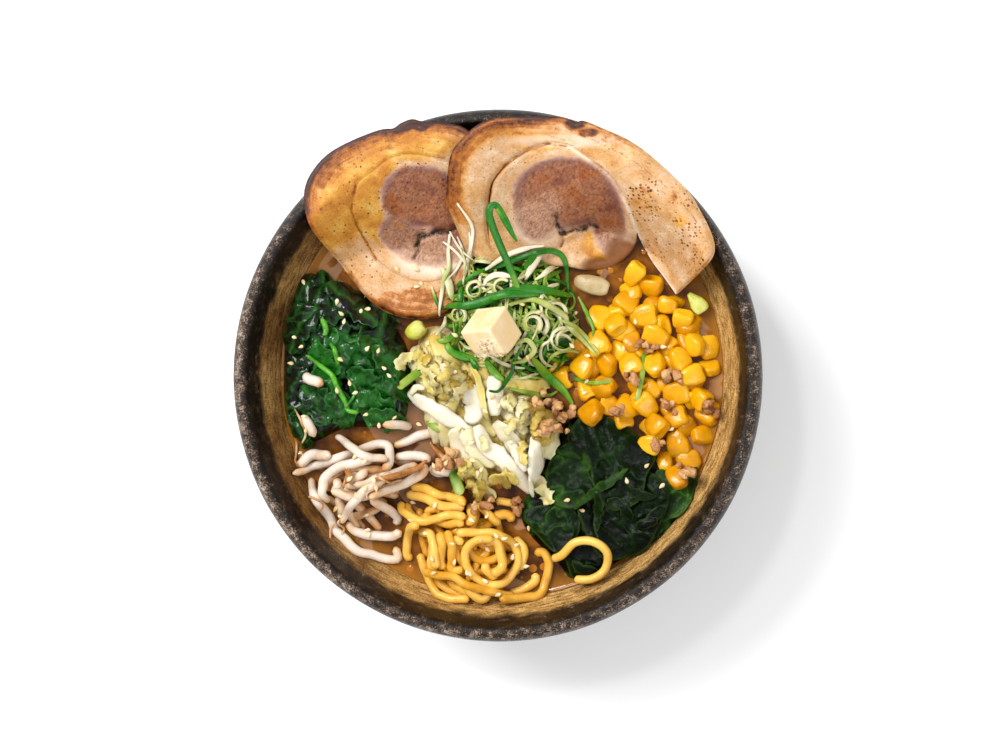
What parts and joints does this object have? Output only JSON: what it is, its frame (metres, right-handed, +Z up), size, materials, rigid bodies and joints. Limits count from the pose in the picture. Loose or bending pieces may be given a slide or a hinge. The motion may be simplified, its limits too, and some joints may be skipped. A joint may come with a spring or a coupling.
{
  "type": "ramen bowl",
  "caption": "Footed stoneware bowl of broth topped with rolled pork, corn, wakame, noodles, bean sprouts, spinach, cabbage, scallion and a cube of butter.",
  "frame": {"origin": "centre of the foot ring, on the surface that the bowl stands on", "axes": "+Z up along the bowl's axis; +Y towards the side where the pork slices lie over the lip; +X towards the corn"},
  "size_m": [0.212, 0.212, 0.0979],
  "materials": {
    "stoneware": "satin speckled glaze",
    "broth": "wet, glossy",
    "butter": "soft satin",
    "pork": "moist",
    "scallion": "moist",
    "cabbage": "moist",
    "corn": "wet, glossy",
    "wakame": "wet, glossy",
    "spinach": "moist",
    "noodle": "moist",
    "sprout": "moist",
    "leek": "moist"
  },
  "bodies": {
    "root": {"bowl": "stoneware", "broth": "broth", "butter_cube": "butter", "pork_slice_left": "pork", "pork_slice_right": "pork", "scallion_shreds": "scallion", "cabbage_heap": "cabbage", "corn_heap": "corn", "wakame": "wakame", "spinach_heap": "spinach", "noodle_nest": "noodle", "bean_sprouts": "sprout", "noodle_loop": "noodle", "leek_white": "leek", "leek_wedge": "leek", "scallion_round": "scallion", "corn_kernel_loose": "corn"}
  },
  "joints": []
}
